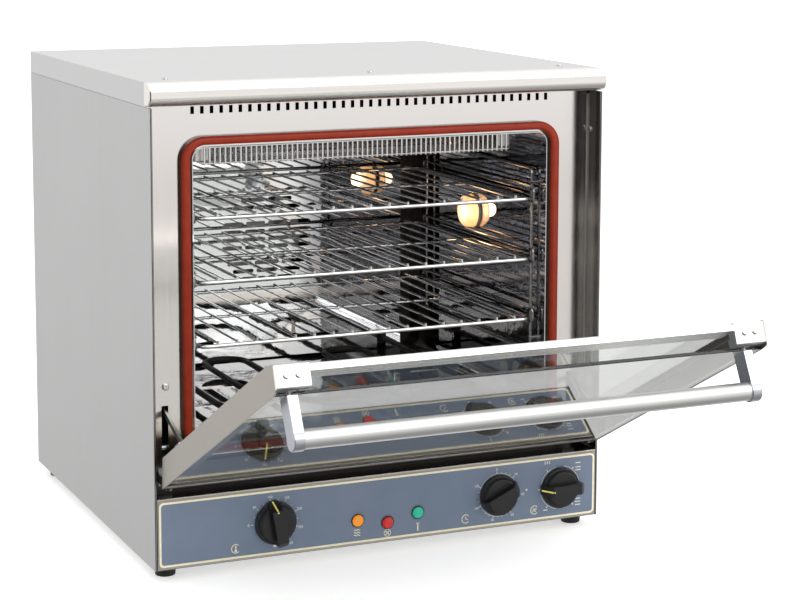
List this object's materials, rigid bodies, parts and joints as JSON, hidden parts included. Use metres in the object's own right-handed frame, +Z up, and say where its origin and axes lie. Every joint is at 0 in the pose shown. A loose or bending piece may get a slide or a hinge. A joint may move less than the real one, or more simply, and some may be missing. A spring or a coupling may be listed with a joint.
{
  "type": "convection oven",
  "caption": "Countertop convection oven with a drop-down glass door, wire racks, rear fan, quartz top elements and a knob panel below the cavity.",
  "frame": {"origin": "middle of the body footprint, on the plane of the four soles", "axes": "+X to the right seen from the front, +Y towards the back, +Z up; the door is on the -Y side"},
  "size_m": [0.5994, 0.9752, 0.596],
  "materials": {
    "stainless_body": "brushed, vertical grain on the sides",
    "stainless_front": "fine satin",
    "stainless_bright": "polished cavity lining",
    "zinc_steel": "zinc-plated sheet",
    "fascia_blue_grey": "printed film, satin",
    "red_silicone": "satin silicone",
    "mineral_wool": "felted mineral wool",
    "chrome_wire": "bright wire",
    "black_rubber": "matte",
    "black_plastic": "satin moulded",
    "grey_plastic": "moulded",
    "amber_lens": "clear coloured lens",
    "red_lens": "clear coloured lens",
    "green_lens": "clear coloured lens",
    "dark_steel": "oxidised heater sheath",
    "quartz_glass": "clear quartz",
    "ceramic_white": "unglazed",
    "lamp_glass": "clear",
    "door_glass": "reflective float glass",
    "clear_glass": "clear float glass",
    "satin_aluminium": "satin anodised",
    "screw_steel": "bright stainless",
    "motor_steel": "coated",
    "cast_aluminium": "cast"
  },
  "bodies": {
    "root": {"base_pan": "zinc_steel", "feet": "black_rubber", "side_panel_right": "stainless_body", "side_panel_left": "stainless_body", "rear_panel": "stainless_body", "top_cover": "stainless_body", "top_nosing": "stainless_front", "front_frame": "stainless_front", "control_housing": "stainless_front", "fascia_plate": "fascia_blue_grey", "front_screws": "screw_steel", "case_screws": "screw_steel", "cavity_shell": "stainless_bright", "cavity_rear_wall": "stainless_bright", "air_baffle": "stainless_bright", "baffle_fasteners": "screw_steel", "insulation_blanket": "mineral_wool", "door_seal": "red_silicone", "quartz_tubes": "quartz_glass", "quartz_end_holders": "ceramic_white", "quartz_guard": "chrome_wire", "bottom_heating_element": "dark_steel", "element_supports": "stainless_bright", "ring_heating_element": "dark_steel", "fan_motor": "motor_steel", "lamp_holder": "ceramic_white", "lamp_glass": "lamp_glass", "lamp_bulb": "lamp_glass", "rack_guide_right": "chrome_wire", "rack_guide_left": "chrome_wire", "thermostat": "grey_plastic", "timer": "grey_plastic", "selector_switch": "grey_plastic", "thermostat_probe": "screw_steel", "pilot_lamp_amber": "amber_lens", "pilot_lamp_red": "red_lens", "pilot_lamp_green": "green_lens", "cable_gland": "black_plastic", "terminal_block": "ceramic_white", "hinge_brackets": "zinc_steel"},
    "door": {"door_frame": "stainless_front", "door_outer_glass": "door_glass", "door_inner_glass": "clear_glass", "door_top_strip": "stainless_front", "corner_cap_right": "satin_aluminium", "corner_cap_left": "satin_aluminium", "door_screws": "screw_steel", "handle_tube": "satin_aluminium", "handle_arm_right": "satin_aluminium", "handle_arm_left": "satin_aluminium"},
    "fan": {"fan_shaft": "screw_steel", "fan_impeller": "cast_aluminium"},
    "thermostat_knob": {"knob_thermostat": "black_plastic"},
    "timer_knob": {"knob_timer": "black_plastic"},
    "selector_knob": {"knob_selector": "black_plastic"},
    "rack_bottom": {"wire_rack_bottom": "chrome_wire"},
    "rack_middle": {"wire_rack_middle": "chrome_wire"},
    "rack_top": {"wire_rack_top": "chrome_wire"},
    "link_right": {"hinge_link_right": "zinc_steel"},
    "link_left": {"hinge_link_left": "zinc_steel"}
  },
  "joints": [
    {"name": "door_hinge", "type": "hinge", "parent": "root", "child": "door", "pos_m": [0, -0.278, 0.1175], "axis": [1, 0, 0], "range_deg": [-62.7, 27.3]},
    {"name": "link_right_pivot", "type": "hinge", "parent": "door", "child": "link_right", "pos_m": [0.272, -0.30906, 0.17179], "axis": [1, 0, 0], "range_deg": [-27.3, 62.7]},
    {"name": "link_left_pivot", "type": "hinge", "parent": "door", "child": "link_left", "pos_m": [-0.272, -0.30906, 0.17179], "axis": [1, 0, 0], "range_deg": [-27.3, 62.7]},
    {"name": "fan_spin", "type": "hinge", "parent": "root", "child": "fan", "pos_m": [0, 0.166, 0.333], "axis": [0, -1, 0], "continuous": true},
    {"name": "thermostat_turn", "type": "hinge", "parent": "root", "child": "thermostat_knob", "pos_m": [-0.1464, -0.284, 0.057], "axis": [0, -1, 0], "range_deg": [-155, 95]},
    {"name": "timer_turn", "type": "hinge", "parent": "root", "child": "timer_knob", "pos_m": [0.155, -0.284, 0.057], "axis": [0, -1, 0], "range_deg": [-229, 71]},
    {"name": "selector_turn", "type": "hinge", "parent": "root", "child": "selector_knob", "pos_m": [0.2425, -0.284, 0.057], "axis": [0, -1, 0], "range_deg": [-309, 0]},
    {"name": "rack_bottom_slide", "type": "slide", "parent": "root", "child": "rack_bottom", "axis": [0, -1, 0], "range_m": [0, 0.22]},
    {"name": "rack_middle_slide", "type": "slide", "parent": "root", "child": "rack_middle", "axis": [0, -1, 0], "range_m": [0, 0.22]},
    {"name": "rack_top_slide", "type": "slide", "parent": "root", "child": "rack_top", "axis": [0, -1, 0], "range_m": [0, 0.22]}
  ],
  "couplings": [
    {"joint": "link_right_pivot", "follows": "door_hinge", "ratio": -1},
    {"joint": "link_left_pivot", "follows": "door_hinge", "ratio": -1}
  ]
}
